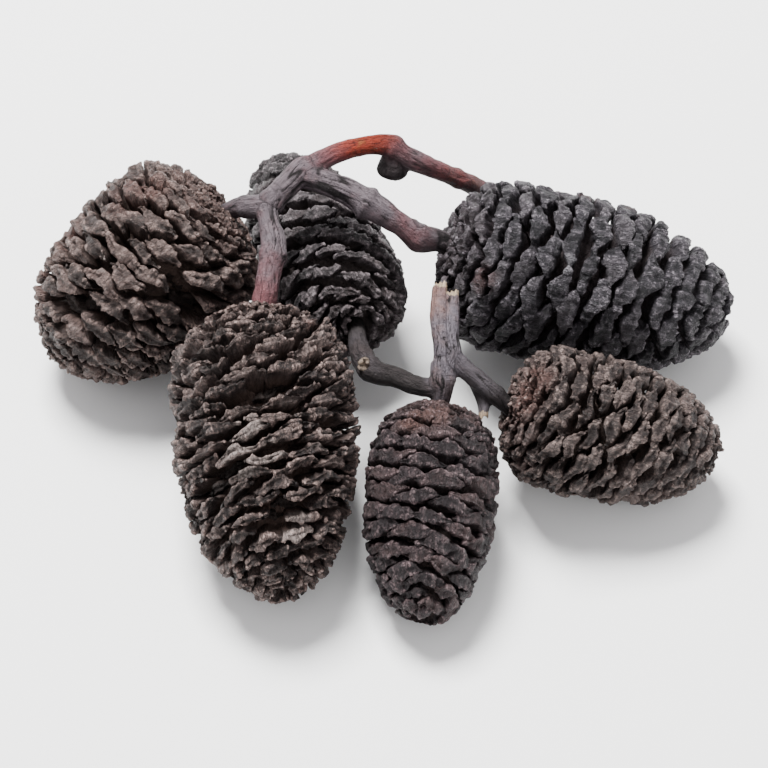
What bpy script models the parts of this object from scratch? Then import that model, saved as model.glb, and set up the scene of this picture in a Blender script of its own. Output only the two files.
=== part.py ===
"""Cone cluster: six woody alder cones on two broken twigs, lying together with their tips on the table."""

import math
import random

import bmesh
import bpy
import numpy as np
from mathutils import Matrix, Vector

# All lengths below are millimetres until they are built.
MM = 0.001
SOLVER = "MANIFOLD"
SEED = 1

# Centre of the bunch in the positions below, which becomes the middle of its footprint.
CENTRE_X = 0.13
CENTRE_Y = 3.20
TABLE_DEPTH = 3.0
PLANED_DEPTH = 0.22

# Form shared by the cones. Shares are of a cone's length or of its greatest radius.
FULLEST_SHARE = 0.42
TIP_BLUNTNESS = 2.1
CORE_RADIUS_SHARE = 0.46
CORE_START_SHARE = 0.10
CORE_END_SHARE = 0.88
CORE_SIDES = 8
CORE_RINGS = 5
PROFILE_STEPS = 400

# Form of one scale. Its rows follow every third scale of the spiral.
GOLDEN_ANGLE = math.radians(137.508)
ROW_STEP = 3
STACK_STEP = 5
SCALE_WIDTH_SHARE = 0.94
SCALE_THICK_SHARE = 0.84
SCALE_EDGE_THICK = 0.66
SCALE_MOST_SPREAD = 1.0
SCALE_ROOT_WIDTH_SHARE = 0.62
SCALE_ROOT_THICK_SHARE = 0.62
SCALE_ROOT_DEPTH_SHARE = 0.55
SCALE_RIM_SHARE = 0.92
SCALE_TIP_UNEVENNESS = 0.05
ROW_FULL_SHARE = 0.6
FIRST_SCALE_RADIUS = 2.5
LAST_SCALE_RADIUS = 1.5

# Each cone: stalk end, tip, greatest radius, bluntness of its base, number of scales, way its spiral
# turns and colour.
CONES = {
    "cone_left": ((-13.8, 14.2, 14.4), (-29.4, 5.9, 3.1), 8.5, 4.4, 56, 1, (0.105, 0.075, 0.058)),
    "cone_back": ((-1.9, 4.6, 8.6), (-10.2, 28.8, 3.3), 6.0, 4.6, 52, 1, (0.045, 0.043, 0.047)),
    "cone_front_left": ((-11.1, 3.5, 12.9), (-8.7, -20.7, 3.6), 8.15, 4.0, 58, 1, (0.085, 0.065, 0.055)),
    "cone_right": ((4.9, 11.1, 11.4), (31.2, 10.0, 4.2), 7.8, 5.5, 58, -1, (0.050, 0.050, 0.058)),
    "cone_front_middle": ((4.5, -3.6, 8.4), (3.2, -22.4, 3.0), 5.75, 4.0, 50, -1, (0.075, 0.058, 0.055)),
    "cone_lower_right": ((10.3, -3.9, 8.6), (29.0, -5.5, 3.6), 6.4, 5.0, 50, -1, (0.100, 0.080, 0.070)),
}

# Form shared by the twigs.
TWIG_SIDES = 8
TWIG_STEP = 1.5
TWIG_UNEVENNESS = 0.07
BREAK_DEPTH = 0.35
SOCKET_GAP = 0.3
SOCKET_REACH = 9.0

# Each twig is a set of grown-together stems. A stem is a run of points x, y, z and thickness.
TWIGS = {
    "twig_upper": (
        (0.34, 0.27, 0.25),
        {
            "front_stalk": ((-10.8, 2.5, 12.0, 2.0), (-10.3, 3.7, 13.6, 2.2), (-9.9, 6.1, 14.8, 2.1),
                            (-9.5, 8.4, 15.5, 2.3), (-10.0, 10.9, 15.9, 1.9), (-10.2, 12.5, 16.1, 2.3)),
            "left_stalk": ((-14.4, 13.8, 13.4, 1.6), (-12.8, 13.4, 14.9, 1.8), (-11.5, 12.7, 15.8, 2.1),
                           (-10.2, 12.5, 16.1, 2.3)),
            "trunk": ((-10.2, 12.5, 16.1, 2.2), (-8.7, 14.0, 16.8, 2.3), (-7.1, 15.5, 17.4, 2.4),
                      (-6.3, 16.0, 17.5, 2.0)),
            "grey_branch": ((-7.4, 15.3, 17.2, 2.2), (-3.8, 13.9, 16.9, 2.3), (-0.9, 12.5, 16.0, 2.5),
                            (1.4, 11.5, 14.9, 2.0), (3.2, 11.0, 13.6, 2.4), (4.8, 11.5, 12.7, 2.0),
                            (6.6, 11.4, 11.4, 1.7)),
            "red_branch": ((-7.4, 15.4, 17.3, 2.1), (-4.3, 16.9, 18.0, 1.8), (-1.7, 17.7, 18.2, 1.7),
                           (0.4, 18.1, 17.8, 2.0), (1.9, 17.5, 17.0, 2.0), (5.0, 17.6, 15.0, 1.7),
                           (8.1, 18.9, 11.6, 1.7), (10.1, 20.8, 8.0, 1.6), (11.6, 22.4, 4.8, 1.5)),
            "broken_stub": ((1.3, 17.9, 17.4, 1.9), (0.9, 17.5, 16.4, 2.6), (0.8, 17.2, 15.8, 2.8)),
            "side_bud": ((2.4, 11.2, 14.2, 1.6), (3.1, 11.6, 14.9, 1.3)),
        },
    ),
    "twig_lower": (
        (0.30, 0.25, 0.24),
        {
            "left_prong": ((4.8, 5.6, 13.6, 1.3), (4.7, 3.4, 13.3, 1.5), (4.8, 1.4, 12.7, 1.6),
                           (5.1, -0.4, 12.0, 1.7), (4.9, -1.9, 11.2, 1.5)),
            "right_prong": ((5.8, 4.7, 13.5, 1.3), (5.8, 3.0, 13.2, 1.5), (5.7, 1.0, 12.5, 1.6),
                            (5.8, -0.7, 11.9, 1.7), (5.2, -1.9, 11.2, 1.6)),
            "middle_stalk": ((5.0, -1.2, 11.5, 2.0), (5.0, -2.2, 11.0, 2.1), (5.0, -3.1, 10.3, 1.8),
                             (4.6, -4.2, 8.6, 1.6), (4.5, -4.6, 8.1, 1.5)),
            "right_stalk": ((5.6, -0.6, 11.9, 1.8), (6.7, -1.5, 11.2, 1.7), (8.2, -2.5, 10.5, 1.7),
                            (9.4, -3.2, 9.8, 1.6), (11.1, -4.0, 8.3, 1.4)),
            "splinter": ((7.0, -1.6, 11.0, 1.2), (8.0, -2.6, 9.8, 1.1), (8.5, -3.7, 9.0, 1.1),
                         (8.5, -4.8, 8.6, 0.9)),
            "back_stalk": ((-2.5, 6.4, 7.6, 1.4), (-2.3, 3.6, 8.7, 1.7), (-1.9, 1.0, 9.5, 1.9),
                           (-0.9, -0.7, 9.7, 2.1), (1.0, -1.3, 9.6, 1.8), (2.9, -2.4, 9.8, 1.8),
                           (4.9, -3.1, 10.2, 1.7)),
        },
    ),
}

# The broken stem ends stay rough. Every other end is inside a cone or in a thicker stem.
BROKEN_STARTS = ("left_prong", "right_prong")
BROKEN_ENDS = ("red_branch", "broken_stub", "splinter")


def clear_scene():
    for old in list(bpy.data.objects):
        bpy.data.objects.remove(old)


def make_object(name, points, faces):
    """Builds a closed mesh object from points in millimetres, with its faces turned outward."""
    mesh = bpy.data.meshes.new(name)
    mesh.from_pydata([tuple(MM * value for value in point) for point in points], [], faces)
    work = bmesh.new()
    work.from_mesh(mesh)
    bmesh.ops.recalc_face_normals(work, faces=work.faces)
    if work.calc_volume(signed=True) < 0:
        bmesh.ops.reverse_faces(work, faces=work.faces)
    work.to_mesh(mesh)
    work.free()
    return bpy.data.objects.new(name, mesh)


def make_material(name, colour, roughness):
    material = bpy.data.materials.new(name)
    material.use_nodes = True
    shader = material.node_tree.nodes["Principled BSDF"]
    shader.inputs["Base Color"].default_value = (*colour, 1.0)
    shader.inputs["Roughness"].default_value = roughness
    shader.inputs["Metallic"].default_value = 0.0
    return material


def apply_boolean(body, operation, pieces):
    """Joins the pieces to the body, or cuts them from it, in one Boolean on their collection."""
    group = bpy.data.collections.new(body.name + "_" + operation.lower())
    bpy.context.scene.collection.children.link(group)
    for piece in pieces:
        piece.hide_render = True
        piece.display_type = "WIRE"
        group.objects.link(piece)
    modifier = body.modifiers.new(operation.title(), "BOOLEAN")
    modifier.operation = operation
    modifier.operand_type = "COLLECTION"
    modifier.collection = group
    modifier.solver = SOLVER
    bpy.context.view_layer.update()
    graph = bpy.context.evaluated_depsgraph_get()
    fused = bpy.data.meshes.new_from_object(body.evaluated_get(graph), depsgraph=graph)
    body.modifiers.clear()
    body.data = fused
    for piece in pieces:
        bpy.data.objects.remove(piece)
    bpy.data.collections.remove(group)


def keep_largest_piece(body):
    """Drops a loose scrap or a sealed hollow that the Boolean left, so that one closed body stays."""
    work = bmesh.new()
    work.from_mesh(body.data)
    unseen = set(work.faces)
    shells = []
    while unseen:
        reached = [unseen.pop()]
        shell = list(reached)
        while reached:
            for edge in reached.pop().edges:
                for face in edge.link_faces:
                    if face in unseen:
                        unseen.remove(face)
                        reached.append(face)
                        shell.append(face)
        shells.append(shell)
    loose = [face for shell in sorted(shells, key=len)[:-1] for face in shell]
    bmesh.ops.delete(work, geom=loose, context="FACES")
    work.to_mesh(body.data)
    work.free()


def outline_share(share, blunt):
    """Radius of a cone, as a share of its greatest radius, at a share of its length."""
    behind = share < FULLEST_SHARE
    away = np.where(behind, FULLEST_SHARE - share, share - FULLEST_SHARE)
    away = away / np.where(behind, FULLEST_SHARE, 1.0 - FULLEST_SHARE)
    power = np.where(behind, blunt, TIP_BLUNTNESS)
    return np.sqrt(np.clip(1.0 - away**power, 0.0, None))


class Outline:
    """The outer form of a cone, read by the distance travelled along its side from stalk to tip."""

    def __init__(self, length, radius, blunt):
        share = 0.5 - 0.5 * np.cos(np.linspace(0.0, math.pi, PROFILE_STEPS))
        self.height = length * share
        self.radius = radius * outline_share(share, blunt)
        steps = np.hypot(np.diff(self.height), np.diff(self.radius))
        self.travel = np.concatenate([[0.0], np.cumsum(steps)])
        widest = int(np.argmax(self.radius))
        self.first = np.interp(FIRST_SCALE_RADIUS, self.radius[:widest], self.travel[:widest])
        self.last = np.interp(LAST_SCALE_RADIUS, self.radius[::-1][: -widest or None],
                              self.travel[::-1][: -widest or None])

    def at(self, travel):
        return np.interp(travel, self.travel, self.radius), np.interp(travel, self.travel, self.height)


def core_radius(share, radius):
    """Radius of the woody spindle inside a cone, at a share of the spindle's length."""
    return CORE_RADIUS_SHARE * radius * math.sqrt(max(0.0, math.sin(math.pi * (0.08 + 0.84 * share))))


def build_core(name, length, radius):
    points, faces = [], []
    for ring in range(CORE_RINGS):
        share = ring / (CORE_RINGS - 1)
        height = length * (CORE_START_SHARE + share * (CORE_END_SHARE - CORE_START_SHARE))
        for side in range(CORE_SIDES):
            turn = 2.0 * math.pi * (side + 0.5 * (ring % 2)) / CORE_SIDES
            reach = core_radius(share, radius)
            points.append((reach * math.cos(turn), reach * math.sin(turn), height))
    for ring in range(CORE_RINGS - 1):
        for side in range(CORE_SIDES):
            after = (side + 1) % CORE_SIDES
            low, high = ring * CORE_SIDES, (ring + 1) * CORE_SIDES
            faces.append((low + side, low + after, high + after, high + side))
    faces.append(tuple(range(CORE_SIDES - 1, -1, -1)))
    faces.append(tuple(range((CORE_RINGS - 1) * CORE_SIDES, CORE_RINGS * CORE_SIDES)))
    return make_object(name, points, faces)


def build_scale(name, outline, length, radius, index, count, way, dice):
    """One wedge of a scale: narrow and sunk in the core at its root, wide and ridged at its rim."""
    step = (outline.last - outline.first) / count
    travel = outline.first + (index + 0.5) * step
    reach, _ = outline.at(travel)
    turn = way * GOLDEN_ANGLE * index
    row_turn = math.remainder(ROW_STEP * GOLDEN_ANGLE, 2.0 * math.pi)
    row_width = abs(row_turn) * reach
    row_rise = ROW_STEP * step / (row_turn * way)
    width = SCALE_WIDTH_SHARE * row_width * dice.uniform(0.9, 1.06)
    thick = max(2.0 * SCALE_EDGE_THICK, SCALE_THICK_SHARE * STACK_STEP * step)
    thick *= dice.uniform(0.88, 1.08) * min(1.0, 0.62 + 0.5 * reach / radius)
    lean = dice.uniform(-0.14, 0.14)
    height_share = (index + 0.5) / count
    tip_pull = 1.0 - dice.uniform(0.0, SCALE_TIP_UNEVENNESS)

    half, edge = 0.5 * width, 0.5 * SCALE_EDGE_THICK
    hexagon = [(-half, -edge), (-half, edge), (0.05 * half, 0.5 * thick),
               (half, edge), (half, -edge), (-0.05 * half, -0.5 * thick)]
    ridge = [(-0.45 * half, 0.0), (0.0, 0.12 * thick), (0.45 * half, 0.0)]

    def place(across, along, depth):
        spread = max(-SCALE_MOST_SPREAD, min(SCALE_MOST_SPREAD, across / max(reach, 0.2)))
        rise = (row_rise * spread + lean * across) * min(1.0, reach / (ROW_FULL_SHARE * radius))
        far, far_height = outline.at(travel + along + rise)
        far_turn = turn + spread
        outer = np.array((far * math.cos(far_turn), far * math.sin(far_turn), far_height))
        near = SCALE_ROOT_DEPTH_SHARE * core_radius(height_share, radius)
        near_turn = turn + SCALE_ROOT_WIDTH_SHARE * spread
        span = CORE_END_SHARE - CORE_START_SHARE
        near_height = length * (CORE_START_SHARE + span * (0.06 + 0.88 * height_share))
        near_height += SCALE_ROOT_THICK_SHARE * along
        inner = np.array((near * math.cos(near_turn), near * math.sin(near_turn), near_height))
        return inner + (outer - inner) * depth * tip_pull

    points = [place(x, y, 0.0) for x, y in hexagon]
    points += [place(x, y, SCALE_RIM_SHARE) for x, y in hexagon]
    points += [place(x, y, 1.0) for x, y in ridge]
    faces = [tuple(range(5, -1, -1))]
    faces += [(side, (side + 1) % 6, 6 + (side + 1) % 6, 6 + side) for side in range(6)]
    faces += [(6, 12, 7), (7, 12, 13, 8), (8, 13, 14, 9), (9, 14, 10), (10, 14, 13, 11), (11, 13, 12, 6)]
    return make_object(name, points, faces)


def build_cone(name, cutters):
    base, tip, radius, blunt, count, way, colour = CONES[name]
    start = Vector(base) - Vector((CENTRE_X, CENTRE_Y, 0.0))
    axis = Vector(tip) - Vector(base)
    outline = Outline(axis.length, radius, blunt)
    dice = random.Random(f"{name}_{SEED}")
    body = build_core(name, axis.length, radius)
    scales = [build_scale(f"{name}_scale_{index}", outline, axis.length, radius, index, count, way, dice)
              for index in range(count)]
    lay = Matrix.Translation(start * MM) @ axis.to_track_quat("Z", "Y").to_matrix().to_4x4()
    for piece in [body, *scales]:
        piece.data.transform(lay)
    bpy.context.scene.collection.objects.link(body)
    apply_boolean(body, "UNION", scales)
    keep_largest_piece(body)
    lowest = min(vertex.co.z for vertex in body.data.vertices)
    body.data.transform(Matrix.Translation((0.0, 0.0, -lowest - PLANED_DEPTH * MM)))
    apply_boolean(body, "DIFFERENCE", cutters)
    keep_largest_piece(body)
    body.data.materials.clear()
    body.data.materials.append(make_material(name, colour, 0.85))


def smooth_run(stem):
    """Extra points along a stem, on a curve through the given ones."""
    points = np.array(stem, float)
    points[:, 0] -= CENTRE_X
    points[:, 1] -= CENTRE_Y
    ends = np.vstack([2 * points[0] - points[1], points, 2 * points[-1] - points[-2]])
    run = [points[0]]
    for index in range(len(points) - 1):
        before, here, there, after = ends[index : index + 4]
        pieces = max(1, round(np.linalg.norm(there[:3] - here[:3]) / TWIG_STEP))
        for piece in range(1, pieces + 1):
            t = piece / pieces
            run.append(0.5 * (2 * here + (there - before) * t
                              + (2 * before - 5 * here + 4 * there - after) * t**2
                              + (3 * here - before - 3 * there + after) * t**3))
    return np.array(run)


def build_stem(name, stem, swell, dice):
    """A tapering tube along a stem, thickened by swell, with uneven sides and rough broken ends."""
    run = smooth_run(stem)
    points, faces = [], []
    side_way = None
    for index, place in enumerate(run):
        ahead = run[min(index + 1, len(run) - 1)][:3] - run[max(index - 1, 0)][:3]
        ahead = Vector(ahead).normalized()
        side_way = side_way or Vector((0.31, 0.17, 0.93))
        side_way = (side_way - ahead * side_way.dot(ahead)).normalized()
        other_way = ahead.cross(side_way)
        rough = (index == 0 and name in BROKEN_STARTS) or (index == len(run) - 1 and name in BROKEN_ENDS)
        for side in range(TWIG_SIDES):
            turn = 2.0 * math.pi * side / TWIG_SIDES
            bump = TWIG_UNEVENNESS * (1.0 if swell else dice.uniform(-1.0, 1.0))
            reach = 0.5 * place[3] * (1.0 + bump) + swell
            push = dice.uniform(-BREAK_DEPTH, BREAK_DEPTH) if rough and not swell else 0.0
            offset = side_way * math.cos(turn) + other_way * math.sin(turn)
            points.append(Vector(place[:3]) + offset * reach + ahead * push)
    for ring in range(len(run) - 1):
        for side in range(TWIG_SIDES):
            after = (side + 1) % TWIG_SIDES
            low, high = ring * TWIG_SIDES, (ring + 1) * TWIG_SIDES
            faces.append((low + side, low + after, high + after, high + side))
    for place, ring in ((0, 0), (-1, len(run) - 1)):
        points.append(Vector(run[place][:3]))
        middle = len(points) - 1
        for side in range(TWIG_SIDES):
            after = (side + 1) % TWIG_SIDES
            rim = ring * TWIG_SIDES
            faces.append((rim + side, rim + after, middle))
    return make_object(name, points, faces)


def build_twig(name):
    colour, stems = TWIGS[name]
    dice = random.Random(f"{name}_{SEED}")
    body, *others = [build_stem(stem, stems[stem], 0.0, dice) for stem in stems]
    body.name = name
    bpy.context.scene.collection.objects.link(body)
    apply_boolean(body, "UNION", others)
    keep_largest_piece(body)
    body.data.polygons.foreach_set("use_smooth", [True] * len(body.data.polygons))
    body.data.materials.clear()
    body.data.materials.append(make_material(name, colour, 0.7))


def build_sockets(cone):
    """Swollen copies of the stems near a cone's stalk end, which cut the sockets that the stems enter."""
    base = Vector(CONES[cone][0])
    dice = random.Random(cone)
    return [build_stem(name, stem, SOCKET_GAP, dice)
            for _, stems in TWIGS.values() for name, stem in stems.items()
            if min((Vector(point[:3]) - base).length for point in stem) < SOCKET_REACH]


def build_table():
    """The flat below the bunch, which planes the lowest scale tips so that the cones lie steady."""
    reach = 60.0
    corners = [(x, y, z) for z in (-TABLE_DEPTH, 0.0) for x, y in
               ((-reach, -reach), (reach, -reach), (reach, reach), (-reach, reach))]
    faces = [(3, 2, 1, 0), (4, 5, 6, 7), (0, 1, 5, 4), (1, 2, 6, 5), (2, 3, 7, 6), (3, 0, 4, 7)]
    return make_object("table", corners, faces)


def main():
    clear_scene()
    for name in TWIGS:
        build_twig(name)
    for name in CONES:
        build_cone(name, [build_table(), *build_sockets(name)])


main()
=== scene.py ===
import itertools
import math

import bpy
import numpy as np
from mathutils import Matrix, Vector


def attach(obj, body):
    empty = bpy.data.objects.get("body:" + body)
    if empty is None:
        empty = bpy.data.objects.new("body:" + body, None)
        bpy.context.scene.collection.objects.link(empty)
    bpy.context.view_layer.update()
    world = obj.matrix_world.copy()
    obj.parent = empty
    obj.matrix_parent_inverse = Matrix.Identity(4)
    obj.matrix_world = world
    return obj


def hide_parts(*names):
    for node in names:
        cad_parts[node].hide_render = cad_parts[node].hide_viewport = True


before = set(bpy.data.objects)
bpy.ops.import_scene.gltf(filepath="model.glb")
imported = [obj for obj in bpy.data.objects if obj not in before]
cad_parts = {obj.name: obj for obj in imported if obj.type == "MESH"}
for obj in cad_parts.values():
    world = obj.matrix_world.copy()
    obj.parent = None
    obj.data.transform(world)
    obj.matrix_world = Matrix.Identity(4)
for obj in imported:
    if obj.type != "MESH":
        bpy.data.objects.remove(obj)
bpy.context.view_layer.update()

# The upper twig is a forked piece of alder wood with thin pinkish grey bark, purple-red on its young arch.
# It grew as one piece. It was snapped from the tree at the dark stub, and three cones hang on its stalks.
# Lengths are millimetres, and every stem point is x, y, z, thickness, redness of the bark and its darkness.
MM = 0.001

# The middle of the bunch, where the frame has its origin
MIDDLE = np.array((0.13, 3.20, 0.0))

# The step along a stem, the sides of its section, where they start, and the voxel that fuses the stems
STEM_STEP, STEM_SIDES, START_SIDE, WOOD_VOXEL = 0.3, 20, (0.31, 0.17, 0.93), 0.14

# How far a growth ring, a broken end and a stem's tones reach, and the distance given where nothing is broken
RING_REACH, BREAK_REACH, TONE_REACH, NO_BREAK = 0.42, 0.55, 0.35, 99.0

# The bark's heights, then the length and width of its furrows and how wide they split
COARSE_SWELL, FINE_SWELL, FURROW_RISE, FISSURE_DEPTH, SPLINTER_REACH = 0.055, 0.035, 0.03, 0.08, 0.55
FURROW_SIZE, FISSURE_WIDTH = (2.6, 0.45, 0.45), 0.15

UPPER_STEMS = {
    "front_stalk": ((-10.8, 2.5, 12.0, 2.0, 0.45, 0.25), (-10.3, 3.7, 13.6, 2.2, 0.60, 0.15),
                    (-9.9, 6.1, 14.8, 2.1, 0.36, 0.08), (-9.5, 8.4, 15.5, 2.3, 0.18, 0.05),
                    (-10.0, 10.9, 15.9, 1.9, 0.12, 0.15), (-10.2, 12.5, 16.1, 2.3, 0.12, 0.25)),
    "left_stalk": ((-14.4, 13.8, 13.4, 1.6, 0.20, 0.55), (-12.8, 13.4, 14.9, 1.8, 0.20, 0.50),
                   (-11.5, 12.7, 15.8, 2.1, 0.15, 0.40), (-10.2, 12.5, 16.1, 2.3, 0.12, 0.25)),
    "trunk": ((-10.2, 12.5, 16.1, 2.2, 0.12, 0.25), (-8.7, 14.0, 16.8, 2.3, 0.10, 0.20),
              (-7.1, 15.5, 17.4, 2.4, 0.15, 0.15), (-6.3, 16.0, 17.5, 2.0, 0.25, 0.15)),
    "grey_branch": ((-7.4, 15.3, 17.2, 2.2, 0.12, 0.12), (-3.8, 13.9, 16.9, 2.3, 0.05, 0.05),
                    (-0.9, 12.5, 16.0, 2.5, 0.12, 0.10), (1.4, 11.5, 14.9, 2.0, 0.42, 0.30),
                    (3.2, 11.0, 13.6, 2.4, 0.38, 0.38), (4.8, 11.5, 12.7, 2.0, 0.08, 0.60),
                    (6.6, 11.4, 11.4, 1.7, 0.10, 0.70)),
    "red_branch": ((-7.4, 15.4, 17.3, 2.1, 0.35, 0.15), (-4.3, 16.9, 18.0, 1.8, 0.75, 0.20),
                   (-1.7, 17.7, 18.2, 1.7, 1.00, 0.20), (0.4, 18.1, 17.8, 2.0, 0.95, 0.42),
                   (1.9, 17.5, 17.0, 2.0, 0.35, 0.20), (5.0, 17.6, 15.0, 1.7, 0.70, 0.42),
                   (8.1, 18.9, 11.6, 1.7, 0.66, 0.46), (10.1, 20.8, 8.0, 1.6, 0.45, 0.50),
                   (11.6, 22.4, 4.8, 1.5, 0.40, 0.45)),
    "broken_stub": ((1.3, 17.9, 17.4, 1.9, 0.45, 0.65), (0.9, 17.5, 16.4, 2.5, 0.10, 1.00),
                    (0.7, 17.1, 15.6, 2.8, 0.05, 1.00), (0.65, 16.95, 15.2, 2.3, 0.05, 1.00)),
    "side_bud": ((2.4, 11.2, 14.2, 1.6, 0.10, 0.25), (3.1, 11.6, 14.9, 1.3, 0.15, 0.35)),
}
UPPER_BREAKS = {"red_branch": -1}
UPPER_RINGS = (("front_stalk", 0.55, 0.18), ("grey_branch", 0.40, 0.30), ("grey_branch", 0.74, 0.16),
               ("red_branch", 0.33, 0.18), ("red_branch", 0.60, 0.10), ("left_stalk", 0.60, 0.14),
               ("trunk", 0.10, 0.16))


def lumps(points, size, seed):
    """Smooth random values from -1 to 1 at the points, in lumps of the given size."""
    spots = np.asarray(points, float) / size + 1000.0
    corner = np.floor(spots).astype(np.int64)
    part = spots - corner
    part = part * part * (3.0 - 2.0 * part)
    total = 0.0
    for step in itertools.product((0, 1), repeat=3):
        x, y, z = np.moveaxis(corner + np.array(step), -1, 0)
        mixed = (x * 73856093) ^ (y * 19349663) ^ (z * 83492791) ^ (seed * 40503)
        mixed = (mixed ^ (mixed >> 13)) * 1274126177 & 0xFFFFFFFF
        value = ((mixed ^ (mixed >> 16)) & 0xFFFF) / 32767.5 - 1.0
        total = total + value * np.prod(np.where(np.array(step), part, 1.0 - part), axis=-1)
    return total


def stem_run(stem):
    """Close points along a stem with its thickness and tones, on a curve through the given ones."""
    points = np.array(stem, float)
    points[:, :3] -= MIDDLE
    ends = np.vstack([2 * points[0] - points[1], points, 2 * points[-1] - points[-2]])
    run = [points[0]]
    for before, here, there, after in zip(ends, ends[1:], ends[2:], ends[3:]):
        pieces = max(1, round(np.linalg.norm(there[:3] - here[:3]) / STEM_STEP))
        for t in np.arange(1, pieces + 1) / pieces:
            run.append(0.5 * (2 * here + (there - before) * t
                              + (2 * before - 5 * here + 4 * there - after) * t**2
                              + (3 * here - before - 3 * there + after) * t**3))
    return np.array(run)


def new_piece(name, points, faces, tones):
    """A mesh object from points in millimetres, with named tones at its points, for the material to read."""
    mesh = bpy.data.meshes.new(name)
    mesh.from_pydata((np.asarray(points) * MM).tolist(), [], faces)
    for tone, values in tones.items():
        kind = "FLOAT_VECTOR" if np.ndim(values) > 1 else "FLOAT"
        slot = mesh.attributes.new(tone, kind, "POINT")
        slot.data.foreach_set("vector" if kind == "FLOAT_VECTOR" else "value",
                              np.asarray(values, np.float32).ravel())
    mesh.polygons.foreach_set("use_smooth", [True] * len(mesh.polygons))
    piece = bpy.data.objects.new(name, mesh)
    bpy.context.scene.collection.objects.link(piece)
    return piece


def grow_twig(name, stems, breaks, rings, seed):
    """Sweeps the stems, fuses them into one skin, then raises the bark and splinters the broken ends.
    Breaks gives a stem's broken end, 0 or -1, and rings gives a stem, a place along it and a height."""
    # The stems as tubes, and a skeleton: place, directions along and aside, radius, length so far, redness,
    # darkness and distance to a break
    points, faces, skeleton = [], [], []
    for stem, given in stems.items():
        run = stem_run(given)
        thick = run[:, 3].copy()
        share = np.linspace(0.0, 1.0, len(run))
        for where, middle, height in rings:
            if where == stem:
                reach = RING_REACH / (len(run) * STEM_STEP)
                thick += 2 * height * np.exp(-(((share - middle) / reach) ** 2))
        ahead = np.gradient(run[:, :3], axis=0)
        ahead /= np.linalg.norm(ahead, axis=1, keepdims=True)
        side = Vector(START_SIDE)
        first = len(points)
        for index, centre in enumerate(run[:, :3]):
            along = Vector(ahead[index])
            side = (side - along * side.dot(along)).normalized()
            other = along.cross(side)
            steps_to_break = len(run) - 1 - index if breaks.get(stem) == -1 else index
            skeleton.append((*centre, *along, *side, 0.5 * thick[index], share[index] * len(run) * STEM_STEP,
                             run[index, 4], run[index, 5],
                             steps_to_break * STEM_STEP if stem in breaks else NO_BREAK))
            for step in range(STEM_SIDES):
                turn = 2 * math.pi * step / STEM_SIDES
                points.append(centre + 0.5 * thick[index]
                              * np.array(side * math.cos(turn) + other * math.sin(turn)))
        for ring, step in itertools.product(range(len(run) - 1), range(STEM_SIDES)):
            low, after = first + ring * STEM_SIDES, (step + 1) % STEM_SIDES
            high = low + STEM_SIDES
            faces.append((low + step, low + after, high + after, high + step))
        faces.append(tuple(range(first + STEM_SIDES - 1, first - 1, -1)))
        faces.append(tuple(range(len(points) - STEM_SIDES, len(points))))

    # Fused into one skin
    mesh = bpy.data.meshes.new(name + "_stems")
    mesh.from_pydata([tuple(point * MM) for point in points], [], faces)
    stems_piece = bpy.data.objects.new(name + "_stems", mesh)
    bpy.context.scene.collection.objects.link(stems_piece)
    fuse = stems_piece.modifiers.new("fuse", "REMESH")
    fuse.mode, fuse.voxel_size, fuse.use_smooth_shade = "VOXEL", WOOD_VOXEL * MM, True
    soften = stems_piece.modifiers.new("soften", "SMOOTH")
    soften.factor, soften.iterations = 0.5, 5
    graph = bpy.context.evaluated_depsgraph_get()
    fused = bpy.data.meshes.new_from_object(stems_piece.evaluated_get(graph), depsgraph=graph)
    skin = np.empty(len(fused.vertices) * 3)
    fused.vertices.foreach_get("co", skin)
    skin = skin.reshape(-1, 3) / MM
    normals = np.empty(len(fused.vertices) * 3)
    fused.vertices.foreach_get("normal", normals)
    normals = normals.reshape(-1, 3)
    faces = [tuple(face.vertices) for face in fused.polygons]
    bpy.data.objects.remove(stems_piece)

    # Each point of the skin takes its tones and its place in the grain from the stems near it
    skeleton = np.array(skeleton)
    gap = np.linalg.norm(skin[:, None, :] - skeleton[None, :, :3], axis=2) - skeleton[None, :, 9]
    nearest = skeleton[np.argmin(gap, axis=1)]
    blend = np.exp(-gap / TONE_REACH)
    blend /= blend.sum(axis=1, keepdims=True)
    red, dark = blend @ skeleton[:, 11], blend @ skeleton[:, 12]
    along, side = nearest[:, 3:6], nearest[:, 6:9]
    away = skin - nearest[:, :3]
    length = nearest[:, 10] + (away * along).sum(axis=1)
    across = (away * side).sum(axis=1)
    upward = (away * np.cross(along, side)).sum(axis=1)
    near_break = np.clip(1.0 - (nearest[:, 13] / BREAK_REACH), 0.0, 1.0)

    # The bark raised, and the broken ends splintered
    grain = np.stack([length, across, upward], axis=1)
    swell = COARSE_SWELL * lumps(skin, 1.3, seed) + FINE_SWELL * lumps(skin, 0.55, seed + 1)
    furrow = lumps(grain / FURROW_SIZE, 1.0, seed + 2)
    where_split = np.clip(2.5 * lumps(skin, 1.6, seed + 3) + 0.4, 0.0, 1.0)
    fissure = np.exp(-((furrow / FISSURE_WIDTH) ** 2)) * where_split
    swell += FURROW_RISE * furrow - FISSURE_DEPTH * fissure
    raised = skin + normals * (swell * (1.0 - 0.5 * near_break))[:, None]
    splinter = lumps(np.stack([across, upward, 0 * across], axis=1), 0.26, seed + 5)
    raised += along * (near_break * SPLINTER_REACH * splinter)[:, None]
    return new_piece(name, raised, faces, {"grain": grain, "red": red, "dark": dark, "broken": near_break,
                                           "fissure": fissure})


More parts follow.
